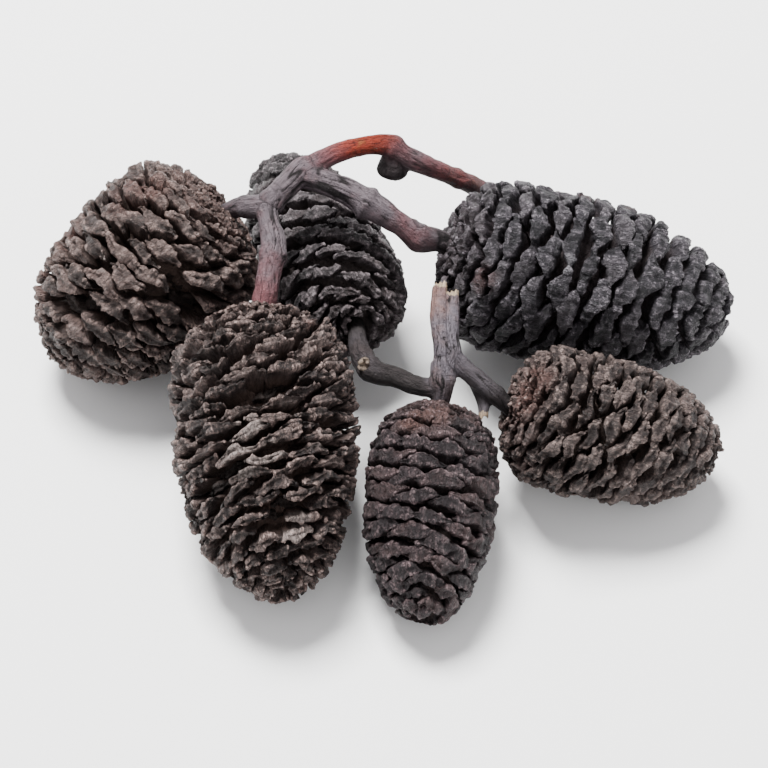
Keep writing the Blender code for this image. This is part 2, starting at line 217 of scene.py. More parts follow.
class Wire:
    """A socket of a material's node tree. Maths on it adds the nodes that work it out."""

    def __init__(self, socket):
        self.socket = socket
        self.tree = socket.id_data

    def make(self, kind, settings=None, inputs=None, output=0):
        """Adds a node of a type, with its settings and then the values or links of its sockets."""
        node = self.tree.nodes.new("ShaderNode" + kind)
        for name, value in (settings or {}).items():
            setattr(node, name, value)
        for name, value in (inputs or {}).items():
            if isinstance(value, Wire):
                self.tree.links.new(value.socket, node.inputs[name])
            else:
                node.inputs[name].default_value = value
        return Wire(node.outputs[output])

    def is_plain(self):
        """Whether it carries a number, not a colour or a vector."""
        return self.socket.type == "VALUE"

    def work(self, operation, first, second):
        """Maths on two sides, with Vector Math where either is a colour or a vector."""
        plain = all(not isinstance(side, Wire) or side.is_plain() for side in (first, second))
        if plain:
            return self.make("Math", {"operation": operation}, {0: first, 1: second})
        sides = [side if isinstance(side, Wire) or not np.isscalar(side) else (side,) * 3
                 for side in (first, second)]
        return self.make("VectorMath", {"operation": operation}, {0: sides[0], 1: sides[1]})

    def __add__(self, other):
        return self.work("ADD", self, other)

    def __radd__(self, other):
        return self.work("ADD", other, self)

    def __sub__(self, other):
        return self.work("SUBTRACT", self, other)

    def __rsub__(self, other):
        return self.work("SUBTRACT", other, self)

    def __mul__(self, other):
        return self.work("MULTIPLY", self, other)

    def __rmul__(self, other):
        return self.work("MULTIPLY", other, self)

    def size(self):
        """The value without its sign."""
        return self.make("Math", {"operation": "ABSOLUTE"}, {0: self})

    def between(self, low, high):
        """0 below low, 1 above high, and smooth between."""
        return self.make("MapRange", {"interpolation_type": "SMOOTHSTEP"},
                         {"Value": self, "From Min": low, "From Max": high})

    def blend(self, first, second):
        """The first colour where this is 0 and the second where it is 1."""
        first, second = (side if isinstance(side, Wire) else (*side, 1.0) for side in (first, second))
        node = self.tree.nodes.new("ShaderNodeMix")
        node.data_type = "RGBA"
        self.tree.links.new(self.socket, node.inputs[0])
        for place, side in ((6, first), (7, second)):
            if isinstance(side, Wire):
                self.tree.links.new(side.socket, node.inputs[place])
            else:
                node.inputs[place].default_value = side
        return Wire(node.outputs[2])

    def noise(self, size, detail=3.0, rough=0.55, seed=0.0):
        """Noise from 0 to 1 in lumps of about the given size, read at this place."""
        return self.make("TexNoise", {"noise_dimensions": "4D"},
                         {"Vector": self, "W": seed, "Scale": 1.0 / size, "Detail": detail,
                          "Roughness": rough})


def new_material(name):
    """A material, its main shader and a way to read a tone of the piece."""
    material = bpy.data.materials.new(name)
    material.use_nodes = True
    shader = material.node_tree.nodes["Principled BSDF"]
    start = Wire(shader.outputs[0])

    def tone(label, output="Fac"):
        return start.make("Attribute", {"attribute_name": label}, output=output)

    return material, shader, tone


def finish_material(shader, colour, roughness, height):
    """Links the worked-out colour, the roughness and the raised grain, which is in millimetres."""
    tree = shader.id_data
    tree.links.new(colour.socket, shader.inputs["Base Color"])
    tree.links.new(roughness.socket, shader.inputs["Roughness"])
    bump = height.make("Bump", {}, {"Height": height, "Distance": MM, "Strength": 1.0})
    tree.links.new(bump.socket, shader.inputs["Normal"])


def bark_material(name, grey, pink, red, dark, pale_wood):
    """Thin bark: grey with a bloom, pink and red where young, with fine cracks, pale spots and raw ends."""
    material, shader, tone = new_material(name)
    grain = tone("grain", "Vector")
    redness, darkness, broken = tone("red"), tone("dark"), tone("broken")

    fibres = (grain * (0.30, 1.0, 1.0)).noise(0.22, 4.0, 0.6, 1.0)
    patches = grain.noise(1.5, 3.0, 0.6, 4.0)
    fine = grain.noise(0.12, 4.0, 0.65, 7.0)
    cracks = (grain * (0.16, 1.0, 1.0)).noise(0.34, 3.0, 0.6, 9.0)
    crack = 1.0 - (cracks - 0.5).size().between(0.0, 0.022)
    rings = (grain * (1.0, 0.12, 0.12)).noise(0.30, 2.0, 0.5, 12.0).between(0.58, 0.72)
    spots = grain.make("TexVoronoi", {}, {"Vector": grain * (1.0, 1.7, 1.7), "Scale": 1.15,
                                          "Randomness": 1.0})
    pores = (1.0 - spots.between(0.10, 0.17)) * patches.between(0.45, 0.60)

    # Grey bloom over pink, red and a little ochre where the bark is young, and streaked along its fibres
    warm = (redness + 0.9 * (patches - 0.5)).between(0.06, 0.62)
    ripe = (redness + 0.30 * (fibres - 0.5)).between(0.55, 1.0)
    colour = warm.blend(grey, pink)
    colour = ripe.blend(colour, red)
    colour = (0.8 * (ripe * patches.between(0.52, 0.66))).blend(colour, (0.200, 0.070, 0.018))
    colour = colour * (1.70 * fibres + 0.60 * fine - 0.02)

    # Painted shade on the underside, where the surface faces down, then pale pores, dark stalks, cracks and
    # fissures
    facing = grain.make("NewGeometry", output="Normal")
    facing = facing.make("SeparateXYZ", {}, {0: facing}, "Z")
    colour = (0.70 * (1.0 - facing.between(-0.55, 0.55))).blend(colour, (0.035, 0.022, 0.029))
    colour = (0.45 * pores).blend(colour, (0.20, 0.16, 0.15))
    shade = (darkness + 0.5 * (patches - 0.45)).between(0.12, 0.95)
    colour = shade.blend(colour, dark)
    colour = (0.75 * crack * fine.between(0.36, 0.56)).blend(colour, tuple(0.35 * value for value in dark))
    fissure = tone("fissure") * (0.55 + 0.6 * fine) * (1.0 - 0.6 * redness.between(0.25, 0.60))
    colour = fissure.between(0.15, 0.80).blend(colour, tuple(0.5 * value for value in dark))
    colour = (0.35 * rings).blend(colour, dark)

    # Raw wood shows at the broken ends that aren't weathered dark
    wood = (grain * (0.15, 1.0, 1.0)).noise(0.10, 3.0, 0.6, 21.0).between(0.25, 0.75)
    wood = wood.blend(tuple(0.45 * value for value in pale_wood), pale_wood)
    raw = (broken + 0.5 * (fine - 0.5)).between(0.15, 0.45) * (1.0 - darkness.between(0.5, 0.8))
    colour = raw.blend(colour, wood)
    roughness = 0.58 + 0.32 * fine - 0.10 * redness
    height = 0.26 * fibres + 0.20 * fine - 0.08 * crack + 0.05 * pores + 0.05 * rings + 0.20 * patches
    shader.inputs["Specular IOR Level"].default_value = 0.20
    finish_material(shader, colour, roughness, height)
    return material


twig_upper = grow_twig("bark_of_upper_twig", UPPER_STEMS, UPPER_BREAKS, UPPER_RINGS, 11)
twig_upper.data.materials.append(bark_material(
    "upper_bark", (0.092, 0.075, 0.083), (0.118, 0.047, 0.052), (0.165, 0.018, 0.007),
    (0.020, 0.015, 0.016), (0.36, 0.26, 0.17)))
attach(twig_upper, "root")
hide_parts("twig_upper")


# The lower twig is a second forked piece of the same wood, two stems grown side by side with a groove
# between. Its top is torn off pale and ragged, and a stub on its right is splintered. Three cones hang on its
# stalks, and it lies under the upper twig.
LOWER_STEMS = {
    "left_prong": ((4.8, 5.6, 13.6, 1.3, 0.45, 0.10), (4.7, 3.4, 13.3, 1.5, 0.48, 0.15),
                   (4.8, 1.4, 12.7, 1.6, 0.36, 0.20), (5.1, -0.4, 12.0, 1.7, 0.08, 0.22),
                   (4.9, -1.9, 11.2, 1.5, 0.15, 0.20)),
    "right_prong": ((5.8, 4.7, 13.5, 1.3, 0.22, 0.00), (5.8, 3.0, 13.2, 1.5, 0.20, 0.05),
                    (5.7, 1.0, 12.5, 1.6, 0.05, 0.15), (5.8, -0.7, 11.9, 1.7, 0.00, 0.25),
                    (5.2, -1.9, 11.2, 1.6, 0.10, 0.25)),
    "middle_stalk": ((5.0, -1.2, 11.5, 2.0, 0.15, 0.20), (5.0, -2.2, 11.0, 2.1, 0.20, 0.25),
                     (5.0, -3.1, 10.3, 1.8, 0.30, 0.40), (4.6, -4.2, 8.6, 1.6, 0.35, 0.50),
                     (4.5, -4.6, 8.1, 1.5, 0.35, 0.60)),
    "right_stalk": ((5.6, -0.6, 11.9, 1.8, 0.05, 0.40), (6.7, -1.5, 11.2, 1.7, 0.10, 0.62),
                    (8.2, -2.5, 10.5, 1.7, 0.12, 0.58), (9.4, -3.2, 9.8, 1.6, 0.15, 0.72),
                    (11.1, -4.0, 8.3, 1.4, 0.15, 0.80)),
    "splinter": ((7.0, -1.6, 11.0, 1.2, 0.12, 0.60), (8.0, -2.6, 9.8, 1.1, 0.12, 0.80),
                 (8.5, -3.7, 9.0, 1.1, 0.10, 0.70), (8.5, -4.8, 8.6, 0.9, 0.10, 0.45)),
    "knot": ((-1.3, 0.1, 9.6, 1.3, 0.10, 0.60), (-1.5, -0.3, 10.1, 1.4, 0.10, 0.55),
             (-1.7, -0.6, 10.5, 1.2, 0.10, 0.48)),
    "back_stalk": ((-2.5, 6.4, 7.6, 1.4, 0.10, 0.95), (-2.3, 3.6, 8.7, 1.7, 0.12, 0.85),
                   (-1.9, 1.0, 9.5, 1.9, 0.30, 0.74), (-0.9, -0.7, 9.7, 2.1, 0.25, 0.86),
                   (1.0, -1.3, 9.6, 1.8, 0.12, 0.98), (2.9, -2.4, 9.8, 1.8, 0.12, 0.98),
                   (4.9, -3.1, 10.2, 1.7, 0.20, 0.62)),
}
LOWER_BREAKS = {"left_prong": 0, "right_prong": 0, "splinter": -1, "knot": -1}
LOWER_RINGS = (("middle_stalk", 0.35, 0.18), ("back_stalk", 0.42, 0.16), ("back_stalk", 0.52, 0.12),
               ("right_stalk", 0.70, 0.10))

twig_lower = grow_twig("bark_of_lower_twig", LOWER_STEMS, LOWER_BREAKS, LOWER_RINGS, 31)
twig_lower.data.materials.append(bark_material(
    "lower_bark", (0.094, 0.082, 0.094), (0.155, 0.084, 0.070), (0.120, 0.035, 0.020),
    (0.021, 0.017, 0.017), (0.48, 0.36, 0.25)))
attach(twig_lower, "root")
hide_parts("twig_lower")


# The left cone hangs from the upper twig's short left stalk and lies on its side, brown with grey-brown
# faces. A cone is one woody piece: a spindle, with scales in a spiral that widen to thick, wavy, lobed rims.
FULLEST_SHARE, TIP_BLUNTNESS = 0.42, 2.1
FIRST_RADIUS, LAST_RADIUS, CLOSER_AT_BASE = 1.4, 1.2, 1.18
SPINDLE_SHARE, SPINDLE_START, SPINDLE_END = 0.46, 0.10, 0.88
GOLDEN_ANGLE = math.radians(137.508)

# How far one scale strays from the rule: along the cone, round it, in slope, reach, droop and tilt
TRAVEL_STRAY, TURN_STRAY, SLOPE_STRAY = 0.07, 0.030, 0.08
REACH_STRAY, DROOP_STRAY, TILT_STRAY = 0.034, 0.22, 0.016
WIDTHS, GIRTHS, LOBES, WAVES, CURLS = (0.88, 1.12), (0.80, 1.16), (0.4, 1.0), (0.1, 0.40), (-0.30, 0.55)
SUNK_BY, CLEFT_DEPTH = 0.40, 0.055

# A scale's surface: ridge heights along its grain, coarse and fine, the level they start from, and its bends
GRAIN_RIDGE, COARSE_RIDGE, FINE_RIDGE, RIDGE_LEVEL, RIDGE_HEIGHT = 0.20, 0.16, 0.14, 0.17, 0.34
BENDS = ((1.6, 0.09, 1), (0.6, 0.05, 4))

# The rough inner core that shows at the bottom of the gaps: its rings and sides, and its share of the cone's
# radius and length
CORE_RINGS, CORE_SIDES, CORE_SHARE, CORE_LENGTH = 36, 28, 0.60, 0.86

# How far the lowest rims go below the table before they are cut level with it
SINK = 0.10

# The line round a scale from its root over its top, its rim and back below, as depths and sides
TOP_DEPTHS = (0.0, 0.50, 0.78, 0.89, 0.945)
RIM_TURNS = np.radians((72.0, 50.0, 30.0, 10.0, -10.0, -30.0, -50.0, -72.0))
SECTION_DEPTH = np.concatenate([TOP_DEPTHS, 0.958 + 0.042 * np.cos(RIM_TURNS) ** 0.6, TOP_DEPTHS[::-1]])
SECTION_SIDE = np.concatenate([np.ones(5), np.sin(RIM_TURNS), -np.ones(5)])


def ease(values, low, high):
    """0 below low, 1 above high, and smooth between."""
    share = np.clip((values - low) / (high - low), 0.0, 1.0)
    return share * share * (3.0 - 2.0 * share)


class Outline:
    """The outer form of a cone, read by the distance travelled along its side from stalk to tip."""

    def __init__(self, length, radius, blunt):
        share = 0.5 - 0.5 * np.cos(np.linspace(0.0, math.pi, 400))
        behind = share < FULLEST_SHARE
        away = np.where(behind, FULLEST_SHARE - share, share - FULLEST_SHARE)
        away = away / np.where(behind, FULLEST_SHARE, 1.0 - FULLEST_SHARE)
        power = np.where(behind, blunt, TIP_BLUNTNESS)
        self.height = length * share
        self.radius = radius * np.sqrt(np.clip(1.0 - away**power, 0.0, None))
        steps = np.hypot(np.diff(self.height), np.diff(self.radius))
        self.travel = np.concatenate([[0.0], np.cumsum(steps)])
        widest = int(np.argmax(self.radius))
        self.first = np.interp(FIRST_RADIUS, self.radius[:widest], self.travel[:widest])
        self.last = np.interp(LAST_RADIUS, self.radius[:widest:-1], self.travel[:widest:-1])

    def at(self, travel):
        """Its radius and its height above the stalk end."""
        return np.interp(travel, self.travel, self.radius), np.interp(travel, self.travel, self.height)


def grid_faces(columns, rows):
    """The faces of one closed scale, as steps from its first point: its skin, its two sides and its root."""
    spot = np.arange(columns * rows).reshape(columns, rows)
    skin = [(spot[a, p], spot[a + 1, p], spot[a + 1, p + 1], spot[a, p + 1])
            for a in range(columns - 1) for p in range(rows - 1)]
    half = rows // 2
    sides = [(spot[0, p + 1], spot[0, rows - 2 - p], spot[0, rows - 1 - p], spot[0, p])
             for p in range(half - 1)]
    sides += [(spot[-1, p], spot[-1, rows - 1 - p], spot[-1, rows - 2 - p], spot[-1, p + 1])
              for p in range(half - 1)]
    root = [(spot[a + 1, 0], spot[a, 0], spot[a, -1], spot[a + 1, -1]) for a in range(columns - 1)]
    return np.array(skin + sides + root)[:, ::-1]


def closeness(points, spots):
    """1 at each given spot, x, y, z and reach, and falling to 0 a little beyond its reach."""
    near = np.zeros(len(points))
    for *spot, reach in spots:
        near = np.maximum(near, np.exp(-((points - spot) ** 2).sum(axis=1) / reach**2))
    return near


def ridges(points, size, seed):
    """Narrow crests, 1 at their tops, that wander through the points in cells of the given size."""
    return np.clip(1.0 - 2.4 * np.abs(lumps(points, size, seed)), 0.0, 1.0) ** 1.3


def grow_cone(name, base, tip, radius, blunt, count, way, seed, width, thick, slope, ragged, split,
              gaps=0.0, columns=19, hollows=(), pale=(), red=()):
    """One cone from base to tip. The scales' width and thickness at the fullest part are millimetres, their
    slope degrees, and way is the turn of their spiral. Split says how deeply each head is parted into two
    lips, ragged how uneven they are and gaps what share is missing. Hollows, pale and red are spots."""
    dice = np.random.default_rng(seed)
    axis = Vector(tip) - Vector(base)
    turn_to = np.array(axis.to_track_quat("Z", "Y").to_matrix())
    outline = Outline(axis.length, radius, blunt)

    # Each scale's place on the spiral, its size and how it strays
    index = np.arange(count)
    index = index[dice.random(count) >= gaps]
    scales = len(index)
    column = (scales, 1, 1)
    height_share = (((index + 0.5) / count) ** CLOSER_AT_BASE).reshape(column)
    spacing = height_share ** (1.0 - 1.0 / CLOSER_AT_BASE)
    travel = outline.first + height_share * (outline.last - outline.first)
    travel = travel + dice.normal(0, TRAVEL_STRAY, column)
    turn = (way * GOLDEN_ANGLE * index).reshape(column) + dice.normal(0, TURN_STRAY, column)
    reach = outline.at(travel)[0]
    fullness = reach / radius
    half = 0.5 * width * fullness**0.75 * dice.uniform(*WIDTHS, column)
    girth = 0.5 * thick * (0.62 + 0.38 * fullness) * spacing * dice.uniform(*GIRTHS, column)
    lean = math.tan(math.radians(slope)) + dice.normal(0, SLOPE_STRAY, column) * ragged
    pull = 1.0 - np.abs(dice.normal(0, REACH_STRAY, column)) * ragged
    far, far_height = outline.at(travel)
    heads = np.stack([far * np.cos(turn), far * np.sin(turn), far_height], axis=-1).reshape(-1, 3)
    sunk = closeness(heads @ turn_to.T + base, hollows).reshape(column)
    pull -= SUNK_BY * ease(sunk, 0.25, 0.65)
    droop = dice.normal(0.0, DROOP_STRAY, column) * ragged
    face_tilt = dice.normal(0.0, TILT_STRAY, column)

    # Each scale is a grid: a goes from -1 to 1 across it, and depth and side follow the line round it
    a = (np.sin(np.linspace(-1.1, 1.1, columns)) / math.sin(1.1)).reshape(1, -1, 1)
    depth = SECTION_DEPTH.reshape(1, 1, -1)
    side = SECTION_SIDE.reshape(1, 1, -1)
    lobes = 1.0 - np.abs(np.cos(0.5 * math.pi * (5.0 * a + dice.uniform(-0.6, 0.6, column))))
    lobes = lobes**1.6 * dice.uniform(*LOBES, column)
    lens = np.clip(1.0 - np.abs(a) ** 1.5, 0.0, 1.0) ** 0.85 * 0.93 + 0.07
    body = 0.40 + 0.60 * ease(depth, 0.30, 0.88)
    along = girth * side * lens * body * (1.0 - 0.18 * lobes * ease(depth, 0.6, 0.95))
    along = along * (1.0 + 0.16 * np.sin(3.1 * a + dice.uniform(0, 6.28, column)))
    wave = np.sin(math.pi * (1.25 * a + dice.uniform(-1, 1, column))) * dice.uniform(*WAVES, column)
    curl = dice.uniform(*CURLS, column) * (a * a - 0.3)
    along = along + girth * (wave + curl) * ease(depth, 0.35, 1.0) * ragged
    along = along + droop * girth * ease(depth, 0.3, 1.0)
    rounding = 1.0 - 0.060 * a * a - 0.045 * lobes * ease(depth, 0.7, 1.0)
    cleft = split * np.exp(-((side / 0.30) ** 2)) * ease(depth, 0.93, 0.98)
    cleft = cleft * (0.30 + 0.70 * np.sin(2.6 * a + dice.uniform(0, 6.28, column)) ** 2)
    along_depth = depth * rounding * pull + face_tilt * side * ease(depth, 0.80, 0.94) - CLEFT_DEPTH * cleft
    across = half * a * (0.93 + 0.07 * ease(depth, 0.4, 0.95)) + 0.08 * half * wave

    # The grid laid between the spindle, inside, and the cone's outline, outside
    spread = np.clip(across / np.maximum(reach, 0.25), -1.15, 1.15)
    rise = lean * across * np.minimum(1.0, fullness / 0.6)
    far, far_height = outline.at(travel + along + rise)
    far_turn = turn + spread
    spindle = SPINDLE_SHARE * radius * np.sqrt(np.sin(math.pi * (0.08 + 0.84 * height_share)))
    near, near_turn = 0.55 * spindle, turn + 0.62 * spread
    near_height = axis.length * (SPINDLE_START + (SPINDLE_END - SPINDLE_START)
                                 * (0.06 + 0.88 * height_share)) + 0.62 * along
    outer, inner = (np.stack([out * np.cos(angle), out * np.sin(angle), height + 0 * angle], axis=-1)
                    for out, angle, height in ((far, far_turn, far_height), (near, near_turn, near_height)))
    points = inner + (outer - inner) * along_depth[..., None]
    outward = np.cross(np.gradient(points, axis=2), np.gradient(points, axis=1))
    outward /= np.linalg.norm(outward, axis=-1, keepdims=True) + 1e-9

    # Ridges, wrinkles and bends, none of them near the roots
    shape = along.shape
    each = columns * len(SECTION_DEPTH)
    points, outward = points.reshape(-1, 3), outward.reshape(-1, 3)
    roots = np.broadcast_to(depth, shape)
    rough = ease(roots.reshape(-1), 0.40, 0.88)[:, None]
    grain = np.stack([np.broadcast_to(across, shape).ravel(), along.ravel(),
                      roots.ravel() * 5.0 + 9.0 * np.repeat(np.arange(scales), each)], axis=1)
    crag = (GRAIN_RIDGE * ridges(grain * (1.0, 0.40, 0.40), 0.62, seed + 61)
            + COARSE_RIDGE * ridges(points, 0.95, seed + 62) + FINE_RIDGE * ridges(points, 0.52, seed + 63))
    points = points + outward * (crag - RIDGE_LEVEL)[:, None] * rough * ragged**0.7
    for size, height, salt in BENDS:
        shift = np.stack([lumps(points, size, seed * 7 + salt + step) for step in range(3)], axis=1)
        points = points + shift * height * rough * ragged**0.5

    faces = grid_faces(columns, len(SECTION_DEPTH))
    faces = (faces[None] + (np.arange(scales) * each)[:, None, None]).reshape(-1, 4)
    tones = {
        "tone": np.broadcast_to(dice.random(column), shape).ravel(),
        "depth": roots.ravel(),
        "rim": (ease(depth, 0.86, 0.97) * (1.0 - 0.8 * cleft)).ravel(),
        "sunk": np.broadcast_to(sunk, shape).ravel(),
        "tip": np.broadcast_to(height_share, shape).ravel(),
        "crest": np.clip(crag / RIDGE_HEIGHT - 0.9 * cleft.ravel(), 0.0, 1.0),
        "grain": grain,
    }

    # The core, which has the plain tones
    rings, sides = CORE_RINGS, CORE_SIDES
    share = np.linspace(0.0, 1.0, rings)
    spin = np.arange(sides) / sides * 2 * math.pi
    girths, heights = outline.at(outline.travel[-1] * (0.10 + 0.82 * share))
    girths, heights = CORE_SHARE * girths, axis.length * 0.5 + CORE_LENGTH * (heights - axis.length * 0.5)
    core = np.stack([np.outer(girths, np.cos(spin)), np.outer(girths, np.sin(spin)),
                     np.outer(heights, np.ones(sides))], axis=-1).reshape(-1, 3)
    core[:, :2] *= 1.0 + 0.22 * lumps(core, 1.1, seed)[:, None] + 0.12 * lumps(core, 0.5, seed + 1)[:, None]
    first = len(points)
    ring, step = (part.ravel() for part in np.meshgrid(range(rings - 1), range(sides), indexing="ij"))
    wrap = first + np.stack([ring * sides + step, ring * sides + (step + 1) % sides,
                             (ring + 1) * sides + (step + 1) % sides, (ring + 1) * sides + step], axis=1)
    caps = [tuple(first + np.arange(sides)[::-1]), tuple(first + (rings - 1) * sides + np.arange(sides))]
    all_points = np.concatenate([points, core])
    extra = {"tone": 0.5, "depth": 0.2, "rim": 0.0, "sunk": 0.0, "tip": 0.5, "crest": 0.3}
    tones = {key: np.concatenate([value, np.full(len(core), extra[key])]) if key in extra
             else np.concatenate([value, core]) for key, value in tones.items()}

    # Turned into place and let down on the table, with the lowest rims planed flat
    laid = all_points @ turn_to.T + base
    tones["pale"], tones["red"] = closeness(laid, pale), closeness(laid, red)
    laid -= MIDDLE
    laid[:, 2] -= laid[:, 2].min() + SINK
    laid[:, 2] = np.maximum(laid[:, 2], 0.0)
    return new_piece(name, laid, wrap.tolist() + faces.tolist() + caps, tones)


def scale_material(name, deep, face, edge, dust, hollow, dusty, base_warmth, warm=(0.095, 0.048, 0.040),
                   mottle=0.20, tip_shade=0.0):
    """Dry woody scales: near black between them, wrinkled faces with painted shade in the wrinkles' valleys,
    pale crests that are partly wear and partly painted highlight, and patches of grey dust. Dusty is how much
    dust lies on them, base_warmth how red they are round the stalk, mottle how many red patches they have and
    tip_shade how much painted shade darkens them towards the tip."""
    material, shader, tone = new_material(name)
    own, depth, rim, sunk, tip, crest, pale, red = (
        tone(label) for label in ("tone", "depth", "rim", "sunk", "tip", "crest", "pale", "red"))
    grain = tone("grain", "Vector")
    spot = grain.make("TexCoord", output="Object") * (1.0 / MM)
    clouds = spot.noise(2.6, 3.0, 0.6, 2.0)
    flecks = spot.noise(0.50, 4.0, 0.65, 5.0)
    fine = spot.noise(0.15, 3.0, 0.65, 8.0)
    ribs = (grain * (1.0, 0.40, 0.30)).noise(0.26, 4.0, 0.62, 11.0)
    crack = 1.0 - (ribs - 0.5).size().between(0.0, 0.045)
    veins = (grain * (1.0, 0.55, 0.30)).noise(0.45, 3.0, 0.6, 17.0)
    vein = 1.0 - (veins - 0.5).size().between(0.0, 0.060)

    # Faces, darker in the valleys of their wrinkles and lighter on their crests as painted shade and
    # highlight, pale rims that are partly wear and partly painted highlight on the crests, then veins, dust
    # and the pale spots
    body = (0.40 * own + 0.55 * flecks + 0.35 * clouds + 0.65 * crest - 0.62).between(0.02, 0.66)
    colour = body.blend(deep, face)
    wear_and_highlight = rim.between(0.05, 0.75) * (0.5 * ribs + 0.5 * flecks).between(0.42, 0.64)
    wear_and_highlight = wear_and_highlight * crest.between(0.28, 0.80)
    colour = (0.9 * wear_and_highlight).blend(colour, edge)
    colour = (0.55 * vein * rim * flecks.between(0.40, 0.60)).blend(colour, edge)
    grey = (clouds * 0.75 + 0.30 * own + 0.25 * flecks).between(0.80 - 0.35 * dusty, 1.05 - 0.30 * dusty)
    colour = (0.75 * grey * depth.between(0.70, 0.92) * (0.3 + 0.7 * fine)).blend(colour, dust)
    colour = (pale.between(0.20, 0.50) * (0.45 + 0.7 * flecks)).blend(colour, tuple(1.5 * v for v in dust))

    # Red-brown patches, fine grain, cracks, and painted shade darkening them towards the tip
    ruddy = (1.0 - tip.between(0.02, 0.26)) * base_warmth + (clouds * own).between(0.30, 0.48) * mottle
    ruddy = ruddy + 0.60 * red.between(0.20, 0.80)
    colour = (ruddy * depth.between(0.4, 0.8)).blend(colour, warm)
    colour = colour * (0.45 + 1.0 * fine)
    colour = (0.85 * crack * flecks.between(0.35, 0.55)).blend(colour, tuple(0.6 * value for value in deep))
    colour = colour * (1.0 - tip_shade * tip.between(0.55, 0.95))
    # Painted highlight: bright glints on the crests of the rims, in a lighter copy of the edge colour
    painted_glint = spot.noise(0.24, 2.0, 0.5, 14.0).between(0.56, 0.66) * crest.between(0.30, 0.75) * rim
    colour = (0.85 * painted_glint).blend(colour, tuple(1.7 * value for value in edge))

    # Dark between the scales, and painted shade, near black, on the sunken scales in the hollows
    colour = depth.between(0.62, 0.90).blend(hollow, colour)
    colour = (0.92 * sunk.between(0.15, 0.55)).blend(colour, tuple(0.22 * value for value in hollow))
    roughness = 0.38 + 0.30 * flecks
    height = 0.46 * ribs + 0.14 * fine + 0.26 * flecks - 0.07 * crack + 0.08 * vein
    shader.inputs["Specular IOR Level"].default_value = 0.30
    finish_material(shader, colour, roughness, height)
    return material


def lay_cone(piece, node, material):
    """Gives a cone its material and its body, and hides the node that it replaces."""
    piece.data.materials.append(material)
    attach(piece, "root")
    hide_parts(node)


lay_cone(
    grow_cone("scales_of_left_cone", base=(-13.8, 14.2, 14.4), tip=(-29.4, 5.9, 3.1), radius=8.5, blunt=4.4,
              count=224, way=-1, seed=5, width=4.6, thick=1.66, slope=10, ragged=1.0, split=0.8,
              hollows=((-26.8, 4.6, 12.9, 1.8), (-16.7, 4.0, 14.0, 1.8)),
              pale=((-24.1, 6.2, 15.9, 0.8),),
              red=((-22.5, 12.0, 18.5, 2.6), (-20.2, 12.4, 19.2, 2.2), (-29.0, 9.6, 8.0, 3.2),
                   (-27.2, 12.4, 12.0, 2.6))),
    "cone_left",
    scale_material("left_cone_scales", deep=(0.027, 0.018, 0.016), face=(0.126, 0.089, 0.080),
                   edge=(0.180, 0.126, 0.110), dust=(0.150, 0.125, 0.115), hollow=(0.085, 0.056, 0.046),
                   dusty=0.40, base_warmth=0.4, mottle=0.32))


# The back cone is the same wood, weathered charcoal black, with thick wavy rims. It sits on the end of the
# lower twig's dark stalk and points away behind the twigs, with painted shade darkening its far end.
lay_cone(
    grow_cone("scales_of_back_cone", base=(-1.9, 4.6, 8.6), tip=(-10.2, 28.8, 3.3), radius=6.0, blunt=4.6,
              count=190, way=-1, seed=8, width=3.6, thick=1.50, slope=-10, ragged=0.8, split=0.7),
    "cone_back",
    scale_material("back_cone_scales", deep=(0.023, 0.019, 0.020), face=(0.088, 0.075, 0.079),
                   edge=(0.145, 0.121, 0.127), dust=(0.100, 0.095, 0.098), hollow=(0.070, 0.055, 0.052),
                   dusty=0.05, base_warmth=0.1, mottle=0.08, tip_shade=0.5))


# The front left cone is long, dark brown and weathered, with thin ragged scales and wide dark hollows, tan
# and pale grey on its rims. It sits on the end of the upper twig's front stalk.
lay_cone(
    grow_cone("scales_of_front_left_cone", base=(-11.1, 3.5, 12.9), tip=(-8.7, -20.7, 3.6), radius=8.15,
              blunt=4.0, count=332, way=-1, seed=13, width=4.4, thick=1.04, slope=12, ragged=1.25, split=1.0,
              gaps=0.07, columns=17,
              hollows=((-11.8, -8.4, 16.9, 1.7), (-9.9, -8.3, 17.1, 1.7), (-7.9, -7.6, 17.0, 1.4),
                       (-14.5, -14.2, 12.4, 1.7), (-12.6, -14.6, 13.4, 1.5), (-9.3, -18.0, 11.4, 1.2),
                       (-7.7, -17.2, 11.9, 1.2), (-14.6, -4.5, 17.1, 1.2), (-12.7, -5.5, 17.7, 1.2)),
              pale=((-12.0, -13.6, 14.4, 1.6), (-9.2, -13.5, 14.8, 1.2), (-7.1, -17.9, 10.9, 1.6),
                    (-11.3, -11.4, 15.7, 1.3)),
              red=((-6.0, -0.7, 16.6, 1.2),)),
    "cone_front_left",
    scale_material("front_left_cone_scales", deep=(0.019, 0.013, 0.012), face=(0.070, 0.048, 0.044),
                   edge=(0.215, 0.152, 0.134), dust=(0.170, 0.140, 0.128), hollow=(0.075, 0.048, 0.039),
                   dusty=0.45, base_warmth=0.35))


# The right cone is the largest, blue-black, with wide almond-shaped scales set close in even rows. It sits on
# the end of the upper twig's grey branch.
lay_cone(
    grow_cone("scales_of_right_cone", base=(4.9, 11.1, 11.4), tip=(31.2, 10.0, 4.2), radius=7.8, blunt=5.5,
              count=200, way=1, seed=21, width=5.2, thick=1.92, slope=-7, ragged=0.85, split=0.15, columns=21,
              pale=((15.8, 6.6, 15.3, 0.9),),
              red=((8.3, 5.4, 14.6, 1.6), (14.6, 15.8, 14.6, 1.1), (18.0, 15.5, 13.8, 1.0),
                   (21.9, 14.9, 12.2, 1.0))),
    "cone_right",
    scale_material("right_cone_scales", deep=(0.009, 0.008, 0.010), face=(0.034, 0.030, 0.036),
                   edge=(0.122, 0.108, 0.120), dust=(0.105, 0.100, 0.108), hollow=(0.075, 0.058, 0.060),
                   dusty=0.30, base_warmth=0.2, warm=(0.060, 0.028, 0.028), mottle=0.08))


